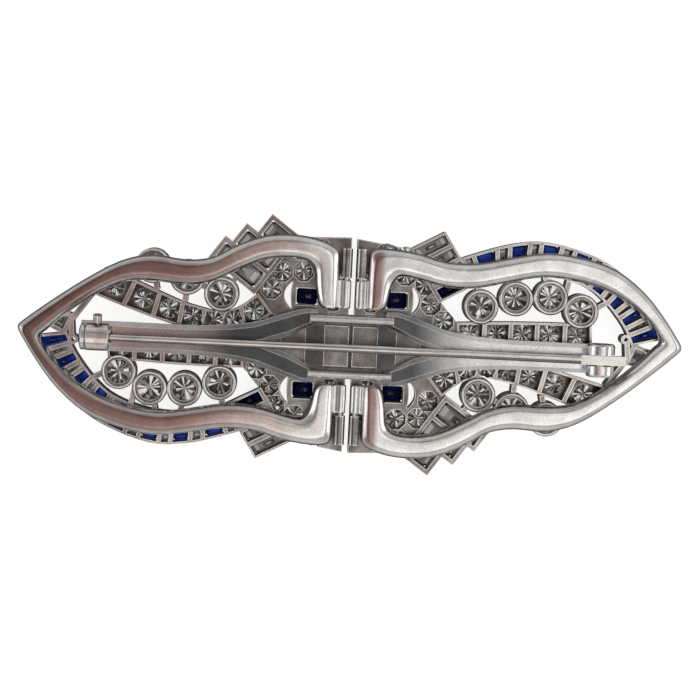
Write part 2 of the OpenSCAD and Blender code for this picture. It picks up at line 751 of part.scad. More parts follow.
module centre_diamonds(side) {
    color(diamond) {
        for (c = SPOTS) brilliant(shares(c[0], c[1], side), centre_stone_d, low_z);
        for (k = [0 : spine_n - 1]) brilliant(spine_spot(k, side), centre_stone_d, low_z);
    }
}

frame();
pin();
rivet();
catch_sleeve();
on_side(1) front(1);  // front_left
on_side(1) loop(1);  // loop_left
on_side(1) hinge_pin(1);  // hinge_pin_left_1
on_side(1) hinge_pin(-1);  // hinge_pin_left_2
on_side(1) stone(1, 1);  // stone_left_1
on_side(1) stone(2, 1);  // stone_left_2
on_side(1) stone(3, 1);  // stone_left_3
on_side(1) stone(4, 1);  // stone_left_4
on_side(1) stone(5, 1);  // stone_left_5
on_side(1) stone(6, 1);  // stone_left_6
on_side(1) stone(7, 1);  // stone_left_7
on_side(1) tip_stone(1);  // tip_stone_left
on_side(1) rim_sapphires(1);  // rim_sapphires_left
on_side(1) rim_baguettes(1);  // rim_baguettes_left
on_side(1) ribbon_diamonds(1);  // ribbon_diamonds_left
on_side(1) step_baguettes(1);  // step_baguettes_left
on_side(1) block_baguettes(1);  // block_baguettes_left
on_side(1) centre_sapphires(1);  // centre_sapphires_left
on_side(1) centre_diamonds(1);  // centre_diamonds_left
on_side(-1) front(-1);  // front_right
on_side(-1) loop(-1);  // loop_right
on_side(-1) hinge_pin(1);  // hinge_pin_right_1
on_side(-1) hinge_pin(-1);  // hinge_pin_right_2
on_side(-1) stone(1, -1);  // stone_right_1
on_side(-1) stone(2, -1);  // stone_right_2
on_side(-1) stone(3, -1);  // stone_right_3
on_side(-1) stone(4, -1);  // stone_right_4
on_side(-1) stone(5, -1);  // stone_right_5
on_side(-1) stone(6, -1);  // stone_right_6
on_side(-1) stone(7, -1);  // stone_right_7
on_side(-1) tip_stone(-1);  // tip_stone_right
on_side(-1) rim_sapphires(-1);  // rim_sapphires_right
on_side(-1) rim_baguettes(-1);  // rim_baguettes_right
on_side(-1) ribbon_diamonds(-1);  // ribbon_diamonds_right
on_side(-1) step_baguettes(-1);  // step_baguettes_right
on_side(-1) block_baguettes(-1);  // block_baguettes_right
on_side(-1) centre_sapphires(-1);  // centre_sapphires_right
on_side(-1) centre_diamonds(-1);  // centre_diamonds_right
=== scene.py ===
"""Looks of the double clip brooch: finer stones and loops, materials, studio light and camera."""
import json
import math
import random

import bmesh
import bpy
from mathutils import Matrix, Vector


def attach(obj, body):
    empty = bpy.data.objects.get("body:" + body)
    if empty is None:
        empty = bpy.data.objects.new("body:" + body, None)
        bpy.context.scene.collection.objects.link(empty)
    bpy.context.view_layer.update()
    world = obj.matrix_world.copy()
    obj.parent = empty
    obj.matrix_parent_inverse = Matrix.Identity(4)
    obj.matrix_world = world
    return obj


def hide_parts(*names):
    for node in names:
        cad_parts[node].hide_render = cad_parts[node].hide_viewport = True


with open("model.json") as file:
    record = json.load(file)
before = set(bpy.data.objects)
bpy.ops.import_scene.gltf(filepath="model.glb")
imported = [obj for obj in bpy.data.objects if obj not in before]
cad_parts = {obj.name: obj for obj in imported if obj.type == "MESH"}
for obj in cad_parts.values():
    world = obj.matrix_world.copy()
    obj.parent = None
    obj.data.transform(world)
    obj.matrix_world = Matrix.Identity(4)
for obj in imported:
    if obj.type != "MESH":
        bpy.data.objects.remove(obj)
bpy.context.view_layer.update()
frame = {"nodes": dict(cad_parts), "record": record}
NODES = frame["nodes"]
MM = 0.001
SIDES = ("left", "right")
COLLETS = range(1, 8)
BLACK = (0.0, 0.0, 0.0)
WHITE = (1.0, 1.0, 1.0)


# Shader nodes

# Sockets of a Mix node that mixes colours
MIX_FACTOR = 0
MIX_A = 6
MIX_B = 7
MIX_RESULT = 2


def node_of(tree, kind, **values):
    n = tree.nodes.new(kind)
    for key, value in values.items():
        setattr(n, key, value)
    return n


def noise(tree, coords, scale, detail=4.0, stretch=(1, 1, 1)):
    """Noise in millimetres, as a value. stretch squeezes it along each axis."""
    m = node_of(tree, "ShaderNodeMapping")
    m.inputs["Scale"].default_value = [s / MM for s in stretch]
    tree.links.new(coords, m.inputs["Vector"])
    n = node_of(tree, "ShaderNodeTexNoise")
    n.inputs["Scale"].default_value = scale
    n.inputs["Detail"].default_value = detail
    tree.links.new(m.outputs["Vector"], n.inputs["Vector"])
    return n.outputs["Fac"]


def ramp(tree, fac, stops):
    """A colour ramp. Each stop is a place with a colour, or with a number for a grey."""
    r = node_of(tree, "ShaderNodeValToRGB")
    elements = r.color_ramp.elements
    while len(elements) < len(stops):
        elements.new(0.5)
    for element, (place, colour) in zip(elements, stops):
        element.position = place
        element.color = (*colour, 1) if isinstance(colour, tuple) else (colour, colour, colour, 1)
    tree.links.new(fac, r.inputs["Fac"])
    return r.outputs["Color"]


def clouds(tree, coords, scale, first, second, detail=4.0):
    """Noise that runs between two stops, each a place on the noise with a colour."""
    return ramp(tree, noise(tree, coords, scale, detail), [first, second])


def map_range(tree, value, low, high, to_low=0.0, to_high=1.0):
    n = node_of(tree, "ShaderNodeMapRange")
    for key, limit in (("From Min", low), ("From Max", high), ("To Min", to_low), ("To Max", to_high)):
        n.inputs[key].default_value = limit
    tree.links.new(value, n.inputs["Value"])
    return n.outputs["Result"]


def mix(tree, fac, a, b, blend="MIX"):
    """Two colours mixed. fac is a socket or a number, a and b are sockets or colours."""
    m = node_of(tree, "ShaderNodeMix", data_type="RGBA", blend_type=blend)
    if isinstance(fac, float):
        m.inputs[MIX_FACTOR].default_value = fac
    else:
        tree.links.new(fac, m.inputs[MIX_FACTOR])
    for socket, value in ((m.inputs[MIX_A], a), (m.inputs[MIX_B], b)):
        if isinstance(value, tuple):
            socket.default_value = (*value, 1)
        else:
            tree.links.new(value, socket)
    return m.outputs[MIX_RESULT]


def times(tree, a, b, fac=1.0):
    return mix(tree, fac, a, b, "MULTIPLY")


def split(tree, vector):
    parts = node_of(tree, "ShaderNodeSeparateXYZ")
    tree.links.new(vector, parts.inputs[0])
    return parts.outputs


def surface_normal(tree):
    return node_of(tree, "ShaderNodeNewGeometry").outputs["Normal"]


def edge_mask(tree, width):
    """One along edges and zero on flats, from the turn to a normal rounded over width mm."""
    rounded = node_of(tree, "ShaderNodeBevel", samples=6)
    rounded.inputs["Radius"].default_value = width * MM
    turn = node_of(tree, "ShaderNodeVectorMath", operation="DOT_PRODUCT")
    tree.links.new(rounded.outputs["Normal"], turn.inputs[0])
    tree.links.new(surface_normal(tree), turn.inputs[1])
    return ramp(tree, turn.outputs["Value"], [(0.90, 1.0), (0.985, 0.0)])


def new_material(name):
    m = bpy.data.materials.new(name)
    m.use_nodes = True
    bsdf = m.node_tree.nodes["Principled BSDF"]
    coords = node_of(m.node_tree, "ShaderNodeTexCoord").outputs["Object"]
    return m, m.node_tree, bsdf, coords


# Metals

# Half the stretch of X in mm that the tables of shades span
HALF_SPAN = 35.0

# Painted reflections on the frame, the loops and the plates, as shades by X on faces that look up.
# Columns: X in mm, shade.
# Painted dark reflection on the frame's upward faces, darkest between -12 and 6.5 mm
FRAME_REFLECTION = [
    (-27, (0.72, 0.60, 0.56)),
    (-17, (0.50, 0.44, 0.42)),
    (-12, (0.13, 0.135, 0.14)),
    (6.5, (0.15, 0.155, 0.165)),
    (12.5, WHITE)]
# Painted rose reflection on the loops, deepest on the left, with a narrow stripe from 1.8 to 2.7 mm
ROSE_REFLECTION = [
    (-35, (0.30, 0.195, 0.18)),
    (-17, (0.41, 0.28, 0.26)),
    (-8, (0.80, 0.69, 0.65)),
    (-4, (0.98, 0.97, 0.96)),
    (1.2, WHITE),
    (1.8, (0.50, 0.345, 0.335)),
    (2.7, (0.50, 0.345, 0.335)),
    (3.3, WHITE)]
# Painted dark reflection on the upward faces of the plates between -9 and 9 mm
PLATE_REFLECTION = [
    (-12, WHITE),
    (-9, (0.62, 0.61, 0.615)),
    (9, (0.62, 0.61, 0.615)),
    (12, WHITE)]

# Darkest and lightest dirt with painted shade in hollows, and the same low in the gallery
GRIME_AND_SHADE = ((0.035, 0.028, 0.026), (0.20, 0.145, 0.13))
SOOT_AND_SHADE = ((0.035, 0.030, 0.028), (0.125, 0.10, 0.09))
# Most that the soot and painted shade cover, at and below the first of depth's heights
SOOT_AND_SHADE_COVER = 0.92
# Distance in mm over which walls make a hollow
HOLLOW_REACH = 1.1
# Colour of rubbed edges with a painted highlight, and painted shade of one side
RUBBED_AND_HIGHLIT = (0.97, 0.96, 0.95)
SHADED_SIDE = (0.40, 0.37, 0.355)
# Depth of the scratches in mm
SCRATCH_DEPTH = 0.05


def painted_reflection_by_x(tree, colour, spot, along, upright, ceiling):
    """Painted reflection: a shade by X on faces that look up. spot holds the X, Y and Z of the surface."""
    share = map_range(tree, spot["X"], -HALF_SPAN * MM, HALF_SPAN * MM)
    shade = ramp(tree, share, [((x + HALF_SPAN) / (2 * HALF_SPAN), tone) for x, tone in along])
    facing = split(tree, surface_normal(tree))["Z"]
    flat = ramp(tree, facing, [(upright[0], 0.0), (upright[1], 1.0)])
    if ceiling:
        low = node_of(tree, "ShaderNodeMath", operation="LESS_THAN")
        low.inputs[1].default_value = ceiling * MM
        tree.links.new(spot["Z"], low.inputs[0])
        flat = mix(tree, low.outputs[0], BLACK, flat)
    return mix(tree, flat, colour, times(tree, colour, shade))


def painted_side_shade(tree, colour, lee):
    """Painted shade on the side where the normal's Y is under lee."""
    unshaded = map_range(tree, split(tree, surface_normal(tree))["Y"], *lee)
    return mix(tree, unshaded, times(tree, colour, SHADED_SIDE), colour)


def soiled_and_shaded(tree, colour, coords, height, depth):
    """Dirt and painted shade in hollows, which turn to soot and deeper painted shade between depth's two
    heights.
    """
    ao = node_of(tree, "ShaderNodeAmbientOcclusion", samples=8, only_local=True)
    ao.inputs["Distance"].default_value = HOLLOW_REACH * MM
    hollow = ramp(tree, ao.outputs["AO"], [(0.42, 1.0), (0.93, 0.0)])
    stain_and_shade = clouds(tree, coords, 0.8, (0.35, GRIME_AND_SHADE[0]), (0.62, GRIME_AND_SHADE[1]))
    colour = mix(tree, hollow, colour, stain_and_shade)
    if depth:
        sunk = map_range(tree, height, depth[0] * MM, depth[1] * MM, SOOT_AND_SHADE_COVER, 0.0)
        deep = ramp(tree, ao.outputs["AO"], [(0.5, 1.0), (0.92, 0.0)])
        soot_and_deep_shade = clouds(tree, coords, 0.6, (0.38, SOOT_AND_SHADE[0]), (0.66, SOOT_AND_SHADE[1]))
        colour = mix(tree, times(tree, deep, sunk), colour, soot_and_deep_shade)
    return colour


def scratched(tree, bsdf, coords, rough, scratch):
    """Gloss that varies, and fine scratches in two directions."""
    rub = noise(tree, coords, 0.9, 5)
    lengthways = noise(tree, coords, 2.2, 3, (0.25, 6, 1))
    across = noise(tree, coords, 2.2, 3, (5, 0.3, 1))
    lines = mix(tree, 0.5, lengthways, across)
    gloss = map_range(tree, mix(tree, 0.45, rub, lines), 0.35, 0.65, *rough)
    tree.links.new(gloss, bsdf.inputs["Roughness"])
    bump = node_of(tree, "ShaderNodeBump")
    bump.inputs["Strength"].default_value = scratch
    bump.inputs["Distance"].default_value = SCRATCH_DEPTH * MM
    tree.links.new(lines, bump.inputs["Height"])
    tree.links.new(bump.outputs["Normal"], bsdf.inputs["Normal"])


def metal(name, light, dark, rough, scratch=0.05, wear=0.5, patch=0.35, along=None, upright=(0.9, 0.97),
          ceiling=None, lee=None, edge=None, dirt_and_shade=False, depth=None):
    """Worn white metal in patches of light and dark, with fine grain and scratches.
    rough gives the least and the most roughness, wear how much the grain shows, and patch how
    small the patches are.
    along lists places on X in mm with the shade of the painted reflection there.
    upright gives the two values of the normal's Z between which that shade sets in, and ceiling
    the height in mm above which there is none.
    lee gives the two values of the normal's Y between which the painted shade on that side fades out.
    edge is the width in mm over which edges are rubbed bright, with a painted highlight.
    dirt_and_shade puts dirt and painted shade in hollows, and depth gives the heights in mm where such a
    metal has all its soot and painted shade and where it has none."""
    m, t, bsdf, coords = new_material(name)
    bsdf.inputs["Metallic"].default_value = 1.0
    spot = split(t, coords)
    patches = clouds(t, coords, patch, (0.34, dark), (0.64, light))
    grain = clouds(t, coords, 5.0, (0.34, 0.72), (0.66, 1.0), 6)
    colour = times(t, patches, grain, wear)
    # Painted reflection by X on the faces that look up
    if along:
        colour = painted_reflection_by_x(t, colour, spot, along, upright, ceiling)
    # Painted shade on one side
    if lee:
        colour = painted_side_shade(t, colour, lee)
    # Rubbed edges with a painted highlight
    if edge:
        colour = mix(t, edge_mask(t, edge), colour, RUBBED_AND_HIGHLIT)
    # Dirt and painted shade in hollows
    if dirt_and_shade:
        colour = soiled_and_shaded(t, colour, coords, spot["Z"], depth)
    t.links.new(colour, bsdf.inputs["Base Color"])
    scratched(t, bsdf, coords, rough, scratch)
    return m


# Painted light in the metals: rose and dark reflections by X, shade in hollows, highlights on edges and a
# shaded side of the pin
M_LOOP = metal("loop_metal", (0.93, 0.92, 0.91), (0.76, 0.75, 0.74), (0.16, 0.28),
               scratch=0.06, wear=0.4, patch=0.6, along=ROSE_REFLECTION, upright=(0.66, 0.92))
M_FRONT = metal("gallery_metal", (0.66, 0.635, 0.605), (0.31, 0.285, 0.265), (0.14, 0.28),
                wear=0.8, patch=0.5, along=PLATE_REFLECTION, edge=0.2, dirt_and_shade=True, depth=(1.0, 2.5))
M_FRAME = metal("frame_metal", (0.90, 0.90, 0.90), (0.74, 0.74, 0.75), (0.15, 0.28),
                scratch=0.06, wear=0.7, along=FRAME_REFLECTION, upright=(0.50, 0.85), ceiling=5.25,
                edge=0.16, dirt_and_shade=True)
M_PIN = metal("pin_metal", (0.84, 0.82, 0.80), (0.66, 0.63, 0.61), (0.10, 0.20), lee=(-0.45, -0.05))
M_RIM = metal("rim_metal", (0.95, 0.94, 0.92), (0.80, 0.75, 0.71), (0.10, 0.20), scratch=0.03)
M_SLEEVE = metal("old_metal", (0.93, 0.87, 0.84), (0.64, 0.55, 0.52), (0.12, 0.26),
                 scratch=0.06, wear=0.6, patch=0.7, edge=0.1, dirt_and_shade=True)


# Gems

DIAMOND_IOR = 2.2
SAPPHIRE_IOR = 1.77


def gem(name, colour, deep, ior, transmission, glow=0.0):
    """Cut stone: clear body with slight cloudiness and colour zoning. glow stands for the light
    that comes in through the table and back out."""
    m, t, bsdf, coords = new_material(name)
    zones = clouds(t, coords, 0.7, (0.35, deep), (0.65, colour), 3)
    t.links.new(zones, bsdf.inputs["Base Color"])
    bsdf.inputs["Transmission Weight"].default_value = transmission
    bsdf.inputs["IOR"].default_value = ior
    t.links.new(zones, bsdf.inputs["Emission Color"])
    bsdf.inputs["Emission Strength"].default_value = glow
    t.links.new(clouds(t, coords, 5.0, (0.3, 0.0), (0.8, 0.06), 2), bsdf.inputs["Roughness"])
    return m


# Each kind of stone has a body material and two copies with painted light, one with a dark reflection and
# one with a glint, and facets name theirs by these
BODY = 0
DARK_REFLECTION = 1
GLINT = 2

DIAMOND = (
    gem("diamond", (0.62, 0.61, 0.59), (0.42, 0.40, 0.38), DIAMOND_IOR, 0.3, 0.15),
    gem("diamond_painted_dark", (0.15, 0.14, 0.13), (0.06, 0.055, 0.05), DIAMOND_IOR, 0.2, 0.03),
    gem("diamond_painted_glint", (0.97, 0.98, 1.0), (0.88, 0.89, 0.91), DIAMOND_IOR, 0.1, 0.55))
BAGUETTE = (
    gem("baguette", (0.66, 0.64, 0.62), (0.44, 0.41, 0.39), DIAMOND_IOR, 0.3, 0.08),
    gem("baguette_painted_dark", (0.22, 0.19, 0.18), (0.09, 0.08, 0.075), DIAMOND_IOR, 0.2),
    gem("baguette_painted_glint", (0.92, 0.92, 0.92), (0.76, 0.75, 0.74), DIAMOND_IOR, 0.1, 0.25))
SAPPHIRE = (
    gem("sapphire", (0.030, 0.065, 0.40), (0.012, 0.028, 0.22), SAPPHIRE_IOR, 0.3, 0.16),
    gem("sapphire_painted_dark", (0.010, 0.022, 0.15), (0.004, 0.008, 0.07), SAPPHIRE_IOR, 0.2),
    gem("sapphire_painted_glint", (0.06, 0.12, 0.60), (0.03, 0.07, 0.42), SAPPHIRE_IOR, 0.2, 0.25))
DEEP = (
    gem("deep_sapphire", (0.008, 0.014, 0.10), (0.003, 0.005, 0.04), SAPPHIRE_IOR, 0.3),
    gem("deep_sapphire_painted_dark", (0.004, 0.006, 0.04), (0.002, 0.003, 0.015), SAPPHIRE_IOR, 0.2),
    gem("deep_sapphire_painted_glint", (0.02, 0.04, 0.26), (0.01, 0.02, 0.14), SAPPHIRE_IOR, 0.2, 0.05))


# Carried-over nodes

SLOT_MATERIAL = {
    "platinum": M_FRONT,
    "pin_metal": M_PIN,
    "diamond": DIAMOND[BODY],
    "sapphire": SAPPHIRE[BODY]}

# Rounding of the nodes' edges. Columns: node, width in mm.
ROUNDED = [("frame", 0.12), ("catch_sleeve", 0.06), ("pin", 0.05), ("rivet", 0.05),
           ("front_left", 0.05), ("front_right", 0.05)]
SHARP_ANGLE = 32


def dress(obj, material):
    for s in obj.material_slots:
        s.material = material
    if not obj.material_slots:
        obj.data.materials.append(material)


def bevelled(obj, width):
    b = obj.modifiers.new("edges", "BEVEL")
    b.width = width * MM
    b.segments = 2
    b.limit_method = "ANGLE"
    b.angle_limit = math.radians(SHARP_ANGLE)
    b.use_clamp_overlap = True
    b.harden_normals = False


for sub in frame["record"]["subparts"]:
    dress(NODES[sub["node"]], SLOT_MATERIAL[sub["material_slot"]])
dress(NODES["frame"], M_FRAME)
dress(NODES["catch_sleeve"], M_SLEEVE)
for name, width in ROUNDED:
    bevelled(NODES[name], width)


# Making of new pieces

# Points of a node that lie closer than this, in metres, are one
WELD = 1e-6


def add(name, bm, materials, body, replaced=(), smooth=False):
    mesh = bpy.data.meshes.new(name)
    bm.to_mesh(mesh)
    bm.free()
    obj = bpy.data.objects.new(name, mesh)
    bpy.context.scene.collection.objects.link(obj)
    for m in materials:
        mesh.materials.append(m)
    for p in mesh.polygons:
        p.use_smooth = smooth
    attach(obj, body)
    if replaced:
        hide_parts(*replaced)


def islands(node):
    """The loose solids of a CAD node, each as a list of its points."""
    bm = bmesh.new()
    bm.from_mesh(NODES[node].data)
    bmesh.ops.remove_doubles(bm, verts=bm.verts, dist=WELD)
    left = set(bm.verts)
    found = []
    while left:
        todo = [left.pop()]
        part = []
        while todo:
            v = todo.pop()
            part.append(v.co.copy())
            for edge in v.link_edges:
                w = edge.other_vert(v)
                if w in left:
                    left.remove(w)
                    todo.append(w)
        found.append(part)
    bm.free()
    return sorted(found, key=lambda p: (round(p[0].x, 6), round(p[0].y, 6)))


def extent(points):
    low = Vector([min(p[i] for p in points) for i in range(3)])
    high = Vector([max(p[i] for p in points) for i in range(3)])
    return low, high


# Brilliants

# Levels from the front to the back. Columns: radius and height, as shares of the stone's.
TABLE = (0.56, 0.0)
BEZEL = (0.80, 0.13)
GIRDLE = (0.995, 0.26)
GIRDLE_BACK = (0.995, 0.31)
OUTER = (0.66, 0.56)
INNER = (0.30, 0.82)
TABLE_SIDES = 8
SECTORS = 32
# Usual order of the materials, with painted glints and dark reflections, round the back, and how often a
# sector keeps to it
SPOKES = (GLINT, BODY, DARK_REFLECTION, DARK_REFLECTION)
SPOKE_CHANCE = 0.5
# A stone's seed comes from its place, in steps of a hundredth of a millimetre
SEED_STEPS = 1e5
SEED_STRIDE = 4001


def brilliant(bm, points, grow):
    """A round brilliant in the place of a CAD stone: table on the front, culet on the back."""
    low, high = extent(points)
    centre = (low + high) / 2
    r = max((p.xy - centre.xy).length for p in points) + grow
    h = high.z - low.z
    chance = random.Random(round(centre.x * SEED_STEPS) * SEED_STRIDE + round(centre.y * SEED_STEPS))
    start = chance.random()

    def ring(count, level, turn=0.0):
        radius = level[0] * r
        z = low.z + level[1] * h
        angles = [2 * math.pi * ((k + turn) / count + start) for k in range(count)]
        return [bm.verts.new((centre.x + radius * math.cos(a), centre.y + radius * math.sin(a), z))
                for a in angles]

    table = ring(TABLE_SIDES, TABLE, 0.5)
    bezel = ring(TABLE_SIDES, BEZEL)
    girdle = ring(SECTORS, GIRDLE)
    back = ring(SECTORS, GIRDLE_BACK)
    outer = ring(SECTORS, OUTER)
    inner = ring(SECTORS, INNER)
    tip = bm.verts.new((centre.x, centre.y, high.z))

    # Facets take the body material, or a copy with a painted dark reflection or a painted glint
    bm.faces.new(list(reversed(table)))
    for k in range(TABLE_SIDES):
        n = (k + 1) % TABLE_SIDES
        middle = 4 * k + 2
        bm.faces.new((table[k - 1], bezel[k], table[k])).material_index = GLINT
        bm.faces.new((table[k], bezel[k], girdle[middle])).material_index = (BODY, DARK_REFLECTION)[k % 2]
        bm.faces.new((table[k], girdle[middle], bezel[n])).material_index = (GLINT, DARK_REFLECTION)[k % 2]
        for corner, a in ((k, middle - 2), (k, middle - 1), (n, middle), (n, middle + 1)):
            facet = bm.faces.new((bezel[corner], girdle[a], girdle[(a + 1) % SECTORS]))
            facet.material_index = (BODY, DARK_REFLECTION, GLINT)[a % 3]

    spokes = [SPOKES[k % 4] if chance.random() < SPOKE_CHANCE else chance.choice((BODY, DARK_REFLECTION, DARK_REFLECTION, GLINT))
              for k in range(SECTORS)]
    for k in range(SECTORS):
        n = (k + 1) % SECTORS
        bm.faces.new((girdle[k], back[k], back[n], girdle[n]))
        rim = bm.faces.new((back[k], outer[k], outer[n], back[n]))
        rim.material_index = chance.choice((spokes[k], BODY, DARK_REFLECTION))
        bm.faces.new((outer[k], inner[k], inner[n], outer[n])).material_index = spokes[k]
        bm.faces.new((inner[k], tip, inner[n])).material_index = chance.choice((BODY, DARK_REFLECTION, spokes[k]))


# Step cuts

# Levels from the front to the back. Columns: height and size, as shares of the stone's.
STEPS = [(0.0, 0.62), (0.1, 0.8), (0.2, 0.94), (0.27, 1.0), (0.33, 1.0),
         (0.52, 0.86), (0.72, 0.64), (0.9, 0.36), (1.0, 0.14)]
# Materials, with painted glints and dark reflections, from level to level, on one pair of opposite sides
# and everywhere else
PAIR_STEPS = (BODY, BODY, BODY, BODY, BODY, GLINT, BODY, DARK_REFLECTION)
OTHER_STEPS = (BODY, BODY, BODY, BODY, DARK_REFLECTION, BODY, BODY, DARK_REFLECTION)
# Height of the belt of points that gives a CAD stone's corners, and the slack in finding it,
# as shares of the stone's height
BELT = 0.25
BELT_SLACK = 0.02
# Share of the shorter side that a corner loses
CORNER_CUT = 0.12


def step_cut(bm, points, grow):
    """A step cut in the place of a four-sided CAD stone, with cut corners."""
    low, high = extent(points)
    h = high.z - low.z
    belt = [p for p in points if abs(p.z - (low.z + BELT * h)) < BELT_SLACK * h]
    centre = sum(belt, Vector()) / len(belt)
    belt.sort(key=lambda p: math.atan2(p.y - centre.y, p.x - centre.x))
    corners = [p.xy for p in belt[:4]]
    middle = sum(corners, Vector((0, 0))) / 4
    corners = [c + ((corners[k - 1] - c).normalized() + (corners[(k + 1) % 4] - c).normalized()) * -grow
               for k, c in enumerate(corners)]
    outline = []
    for k in range(4):
        a, b, c = corners[k - 1], corners[k], corners[(k + 1) % 4]
        d = CORNER_CUT * min((a - b).length, (c - b).length)
        outline.append(b + (a - b).normalized() * d)
        outline.append(b + (c - b).normalized() * d)
    levels = [[bm.verts.new((*(middle + (p - middle) * size), low.z + h * z)) for p in outline]
              for z, size in STEPS]
    bm.faces.new(list(reversed(levels[0])))
    bm.faces.new(levels[-1])
    for j, (a, b) in enumerate(zip(levels, levels[1:])):
        for k in range(8):
            n = (k + 1) % 8
            facet = bm.faces.new((a[k], a[n], b[n], b[k]))
            facet.material_index = PAIR_STEPS[j] if k % 4 == 1 else OTHER_STEPS[j]


# Stones and their settings

# Growth in mm past the CAD stone
COLLET_GROWTH = 0.05
ROUND_GROWTH = 0.1
STEP_GROWTH = 0.09

# Groups of stones. Columns: name, cut, materials, slot, growth in mm.
GROUPS = [
    ("ribbon_diamonds_", brilliant, DIAMOND, "diamond", ROUND_GROWTH),
    ("centre_diamonds_", brilliant, DIAMOND, "diamond", ROUND_GROWTH),
    ("tip_stone_", step_cut, BAGUETTE, "diamond", STEP_GROWTH),
    ("rim_baguettes_", step_cut, BAGUETTE, "diamond", STEP_GROWTH),
    ("step_baguettes_", step_cut, BAGUETTE, "diamond", STEP_GROWTH),
    ("block_baguettes_", step_cut, BAGUETTE, "diamond", STEP_GROWTH),
    ("rim_sapphires_", step_cut, SAPPHIRE, "sapphire", STEP_GROWTH),
    ("centre_sapphires_", step_cut, DEEP, "sapphire", STEP_GROWTH)]

# Claws on the front: their height, how far out they stand and their radius, in mm
CLAW_Z = 0.36
CLAW_REACH = 0.06
CLAW_R = 0.2

# Rings on a collet, on its back and its front. Columns: height, distance outside the stone's
# edge and radius of the wire, in mm.
RINGS = [(2.92, 0.235, 0.15), (0.36, 0.22, 0.13)]
RING_SEGMENTS = 48
WIRE_SEGMENTS = 12


def stones(node, cutter, materials, body, grow):
    bm = bmesh.new()
    for part in islands(node):
        cutter(bm, part, grow * MM)
    bmesh.ops.recalc_face_normals(bm, faces=bm.faces)
    add(node + "_cut", bm, materials, body, (node,))


def seats(node, z):
    """Place at height z mm and radius of each loose stone of a node."""
    for part in islands(node):
        low, high = extent(part)
        centre = (low + high) / 2
        yield Vector((centre.x, centre.y, z * MM)), (high.x - low.x) / 2


def bead(bm, at, r):
    bmesh.ops.create_uvsphere(bm, u_segments=8, v_segments=4, radius=r, matrix=Matrix.Translation(at))


def torus(bm, at, r, thick):
    rows = []
    for i in range(RING_SEGMENTS):
        a = 2 * math.pi * i / RING_SEGMENTS
        row = []
        for j in range(WIRE_SEGMENTS):
            b = 2 * math.pi * j / WIRE_SEGMENTS
            reach = r + thick * math.cos(b)
            row.append(bm.verts.new((at.x + reach * math.cos(a), at.y + reach * math.sin(a),
                                     at.z + thick * math.sin(b))))
        rows.append(row)
    for i in range(RING_SEGMENTS):
        p, q = rows[i], rows[(i + 1) % RING_SEGMENTS]
        for j in range(WIRE_SEGMENTS):
            n = (j + 1) % WIRE_SEGMENTS
            bm.faces.new((p[j], q[j], q[n], p[n]))


def add_claws(side, body):
    bm = bmesh.new()
    for kind in ("ribbon_diamonds_", "centre_diamonds_"):
        for at, r in seats(kind + side, CLAW_Z):
            for k in range(4):
                a = math.pi * (k / 2 + 0.25)
                bead(bm, at + Vector((math.cos(a), math.sin(a), 0)) * (r + CLAW_REACH * MM), CLAW_R * MM)
    add("claws_" + side, bm, (M_RIM,), body, smooth=True)


def add_rings(side, body):
    bm = bmesh.new()
    for k in COLLETS:
        for z, reach, thick in RINGS:
            for at, r in seats("stone_%s_%d" % (side, k), z):
                torus(bm, at, r + reach * MM, thick * MM)
    add("rims_" + side, bm, (M_RIM,), body, smooth=True)


for side in SIDES:
    body = "clip_" + side
    for k in COLLETS:
        stones("stone_%s_%d" % (side, k), brilliant, DIAMOND, body, COLLET_GROWTH)
    for kind, cutter, materials, slot, grow in GROUPS:
        stones(kind + side, cutter, materials, body, grow)
    add_claws(side, body)
    add_rings(side, body)


# Loops

LOOP_VOXEL = 0.085
LOOP_ROUNDS = 30


def softened(node, material, body):
    """A copy of a CAD node with its facets melted into one smooth surface."""
    mesh = NODES[node].data.copy()
    obj = bpy.data.objects.new(node + "_smooth", mesh)
    bpy.context.scene.collection.objects.link(obj)
    mesh.materials.clear()
    mesh.materials.append(material)
    remesh = obj.modifiers.new("remesh", "REMESH")
    remesh.mode = "VOXEL"
    remesh.voxel_size = LOOP_VOXEL * MM
    smooth = obj.modifiers.new("smooth", "SMOOTH")
    smooth.iterations = LOOP_ROUNDS
    smooth.factor = 0.5
    depsgraph = bpy.context.evaluated_depsgraph_get()
    done = bpy.data.meshes.new_from_object(obj.evaluated_get(depsgraph))
    obj.modifiers.clear()
    obj.data = done
    for p in done.polygons:
        p.use_smooth = True
    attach(obj, body)
    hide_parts(node)


for side in SIDES:
    softened("loop_" + side, M_LOOP, "back_" + side)


# Studio

# Height of the cards in mm
CARD_Z = 420
WARM = (1.0, 0.97, 0.93)
PINK = (1.0, 0.72, 0.67)
COOL = (0.95, 0.97, 1.0)

# Brightness of the tent round the scene. Columns: height from straight down at 0 to straight
# up at 1, grey.
TENT = [(0.0, 0.07), (0.18, 0.12), (0.32, 0.46), (0.53, 0.52), (0.62, 0.66), (0.80, 0.42), (0.95, 0.08)]

# Half the floor's width in metres, how far under the brooch it lies in mm, and its glow
FLOOR_HALF = 0.8
FLOOR_DROP = 0.02
FLOOR_GREY = 0.5
FLOOR_GLOW = 0.86


def softbox(name, place, size, radiance, colour, target=(0, 0, 0)):
    """A rectangular light of even brightness. Place, size and target are in metres."""
    light = bpy.data.lights.new(name, "AREA")
    light.shape = "RECTANGLE"
    light.size, light.size_y = size
    light.energy = radiance * math.pi * size[0] * size[1]
    light.color = colour
    obj = bpy.data.objects.new(name, light)
    obj.location = place
    aim = Vector(target) - Vector(place)
    obj.rotation_euler = aim.to_track_quat("-Z", "Y").to_euler()
    bpy.context.scene.collection.objects.link(obj)


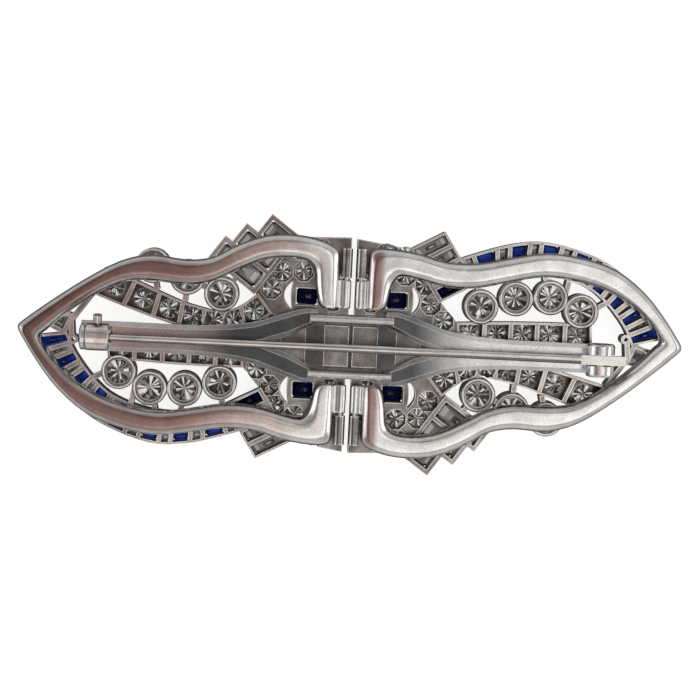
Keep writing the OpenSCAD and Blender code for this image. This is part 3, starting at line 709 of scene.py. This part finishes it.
def card(name, x, y, radiance, colour=WARM):
    """A card that faces down, given by its spans in mm."""
    place = Vector((sum(x) / 2, sum(y) / 2, CARD_Z)) * MM
    softbox(name, place, ((x[1] - x[0]) * MM, (y[1] - y[0]) * MM), radiance, colour, (place.x, place.y, 0))


def add_tent():
    world = bpy.data.worlds.new("studio")
    world.use_nodes = True
    t = world.node_tree
    way = split(t, node_of(t, "ShaderNodeTexCoord").outputs["Generated"])
    tent = ramp(t, map_range(t, way["Z"], -1.0, 1.0), TENT)
    t.links.new(tent, t.nodes["Background"].inputs["Color"])
    bpy.context.scene.world = world


def add_floor():
    bm = bmesh.new()
    bmesh.ops.create_grid(bm, x_segments=1, y_segments=1, size=FLOOR_HALF)
    mesh = bpy.data.meshes.new("floor")
    bm.to_mesh(mesh)
    bm.free()
    floor = bpy.data.objects.new("floor", mesh)
    floor.location.z = -FLOOR_DROP * MM
    bpy.context.scene.collection.objects.link(floor)
    m, _, bsdf, _ = new_material("floor_white")
    bsdf.inputs["Base Color"].default_value = (FLOOR_GREY, FLOOR_GREY, FLOOR_GREY, 1)
    bsdf.inputs["Roughness"].default_value = 0.9
    bsdf.inputs["Emission Color"].default_value = (*WHITE, 1)
    bsdf.inputs["Emission Strength"].default_value = FLOOR_GLOW
    mesh.materials.append(m)
    floor.visible_glossy = False


card("right_front", (48, 300), (-300, -28), 1.12)
card("right_back", (40, 300), (-28, 300), 0.92)
card("centre", (-2, 40), (-14, 120), 0.66)
card("front", (-52, 40), (-450, -40), 1.1)
card("far_front", (-230, -52), (-450, -92), 0.8)
card("red", (-170, -8), (-34, 250), 0.38, PINK)
card("far_red", (-170, -58), (-86, -34), 0.34, PINK)
softbox("left_box", (-0.46, 0.02, 0.16), (0.30, 0.22), 1.2, COOL)
softbox("right_box", (0.46, 0.05, 0.18), (0.34, 0.20), 1.2, COOL)
add_tent()
add_floor()


# Camera at the photograph's angle

# Real size of one of the photograph's pixels, and the photograph's width in pixels
PIXEL = 0.1028 * MM
PHOTO_WIDTH = 700
# Direction from the brooch to the camera, and the camera's turn about it
TILT = Vector((-0.031, 0.064, 1.0)).normalized()
ROLL = math.radians(2.68)
LENS = 120.0
SENSOR = 36.0
# Height in mm of the plane that the picture is measured in, and the middle of the picture
# from the origin in pixels, to the left and down
PLANE_Z = 4.5
MIDDLE_LEFT = 0.5
MIDDLE_DOWN = 2.75


def add_camera():
    camera_data = bpy.data.cameras.new("camera")
    camera_data.lens = LENS
    camera_data.sensor_width = SENSOR
    camera_data.clip_start = 0.01
    camera = bpy.data.objects.new("camera", camera_data)
    bpy.context.scene.collection.objects.link(camera)
    right = Vector((math.cos(ROLL), math.sin(ROLL), 0.0))
    right = (right - TILT * right.dot(TILT)).normalized()
    up = TILT.cross(right)
    centre = Vector((0, 0, PLANE_Z * MM)) - right * MIDDLE_LEFT * PIXEL - up * MIDDLE_DOWN * PIXEL
    distance = PHOTO_WIDTH * PIXEL * LENS / SENSOR
    place = centre + TILT * distance
    camera.matrix_world = Matrix((
        (right.x, up.x, TILT.x, place.x),
        (right.y, up.y, TILT.y, place.y),
        (right.z, up.z, TILT.z, place.z),
        (0, 0, 0, 1)))
    bpy.context.scene.camera = camera


add_camera()
bpy.context.scene.view_settings.view_transform = "Standard"
